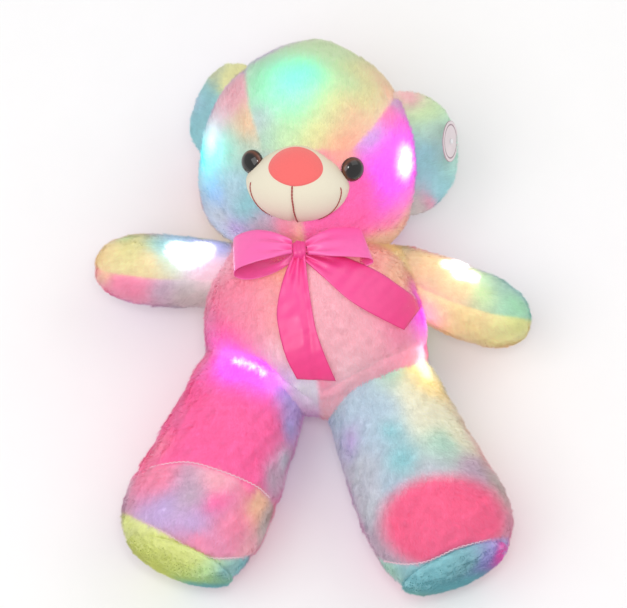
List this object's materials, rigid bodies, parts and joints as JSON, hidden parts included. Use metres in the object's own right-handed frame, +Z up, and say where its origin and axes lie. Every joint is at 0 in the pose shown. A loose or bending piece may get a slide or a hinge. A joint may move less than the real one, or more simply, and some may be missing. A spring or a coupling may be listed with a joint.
{
  "type": "plush night light",
  "caption": "Plush bear night light lying on its back, lamps glowing through its fur, with a ribbon bow and a battery case behind a zip in its back",
  "frame": {"origin": "Middle of the toy's footprint, on the surface that it lies on", "axes": "+Z up through the belly, +Y towards the top of the head, +X towards the bear's own left side as it lies, which is the picture's right"},
  "size_m": [0.3778, 0.4835, 0.1828],
  "materials": {
    "rose_plush": "short-pile plush, dyed in soft blots",
    "mint_plush": "short-pile plush, dyed in soft blots",
    "sky_plush": "short-pile plush, dyed in soft blots",
    "lemon_plush": "short-pile plush, dyed in soft blots",
    "cream_velboa": "very short smooth pile",
    "coral_felt": "flat applique cloth",
    "thread_brown": "embroidery thread",
    "eye_plastic": "polished dark brown",
    "washer_plastic": "natural moulded",
    "satin_ribbon": "satin",
    "tag_card": "blank coated card",
    "zip_fabric": "woven tape",
    "zip_metal": "plated",
    "case_plastic": "moulded",
    "cell_sleeve": "plain shrink sleeve",
    "spring_steel": "plated spring wire",
    "board_green": "solder mask",
    "button_red": "moulded",
    "lamp_resin": "clear resin",
    "wire_sleeve": "soft insulation"
  },
  "bodies": {
    "trunk": {"torso_body": "rose_plush", "neck_ribbon": "satin_ribbon", "bow_knot": "satin_ribbon", "bow_loop_left": "satin_ribbon", "bow_loop_right": "satin_ribbon", "bow_tail_left": "satin_ribbon", "bow_tail_right": "satin_ribbon", "zip_tape_left": "zip_fabric", "zip_tape_right": "zip_fabric", "zip_coil": "zip_fabric", "zip_stop_top": "zip_metal", "zip_stop_bottom": "zip_metal", "battery_case": "case_plastic", "battery_lid": "case_plastic", "lid_screw": "zip_metal", "battery_1": "cell_sleeve", "battery_2": "cell_sleeve", "battery_3": "cell_sleeve", "contact_spring_1": "spring_steel", "contact_spring_2": "spring_steel", "contact_spring_3": "spring_steel", "contact_plate_1": "spring_steel", "contact_plate_2": "spring_steel", "contact_plate_3": "spring_steel", "circuit_board": "board_green", "led_chest_right": "lamp_resin", "led_hip_left": "lamp_resin", "led_hip_right": "lamp_resin", "wire_torso": "wire_sleeve"},
    "head_group": {"head": "mint_plush", "muzzle": "cream_velboa", "nose": "coral_felt", "mouth_stitch_centre": "thread_brown", "mouth_stitch_left": "thread_brown", "mouth_stitch_right": "thread_brown", "eye_left": "eye_plastic", "eye_right": "eye_plastic", "eye_washer_left": "washer_plastic", "eye_washer_right": "washer_plastic", "ear_left": "sky_plush", "ear_right": "sky_plush", "ear_tag": "tag_card", "ear_tag_pin": "washer_plastic", "led_forehead": "lamp_resin", "led_cheek_left": "lamp_resin", "led_cheek_right": "lamp_resin", "wire_head": "wire_sleeve"},
    "arm_left_group": {"arm_left": "lemon_plush", "led_arm_left": "lamp_resin", "wire_arm_left": "wire_sleeve"},
    "arm_right_group": {"arm_right": "lemon_plush", "led_arm_right": "lamp_resin", "wire_arm_right": "wire_sleeve"},
    "leg_left_group": {"leg_left": "rose_plush", "sole_left": "mint_plush"},
    "leg_right_group": {"leg_right": "sky_plush", "sole_right": "mint_plush"},
    "slider_group": {"zip_slider": "zip_metal"},
    "pull_group": {"zip_pull": "zip_metal"},
    "button_group": {"switch_button": "button_red"}
  },
  "joints": [
    {"name": "head_turn", "type": "hinge", "parent": "trunk", "child": "head_group", "pos_m": [-0.003, 0.14629, 0.0865], "axis": [0.0695, 0.9229, 0.3788], "range_deg": [-20, 20]},
    {"name": "arm_left_swing", "type": "hinge", "parent": "trunk", "child": "arm_left_group", "pos_m": [-0.068, 0.04229, 0.058], "axis": [0, 1, 0], "range_deg": [-8, 45]},
    {"name": "arm_right_swing", "type": "hinge", "parent": "trunk", "child": "arm_right_group", "pos_m": [0.076, 0.04229, 0.058], "axis": [0, -1, 0], "range_deg": [-8, 45]},
    {"name": "leg_left_swing", "type": "hinge", "parent": "trunk", "child": "leg_left_group", "pos_m": [-0.046, -0.04121, 0.0495], "axis": [-1, 0, 0], "range_deg": [-10, 40]},
    {"name": "leg_right_swing", "type": "hinge", "parent": "trunk", "child": "leg_right_group", "pos_m": [0.054, -0.04821, 0.0495], "axis": [-1, 0, 0], "range_deg": [-10, 40]},
    {"name": "zip_slide", "type": "slide", "parent": "trunk", "child": "slider_group", "axis": [0, -1, 0], "range_m": [0, 0.032]},
    {"name": "zip_pull_flip", "type": "hinge", "parent": "slider_group", "child": "pull_group", "pos_m": [0.004, 0.03429, 0.00365], "axis": [1, 0, 0], "range_deg": [0, 150]},
    {"name": "switch_press", "type": "slide", "parent": "trunk", "child": "button_group", "axis": [0, 0, 1], "range_m": [0, 0.0012], "stiffness_N_per_m": 300, "springref_m": -0.002}
  ]
}
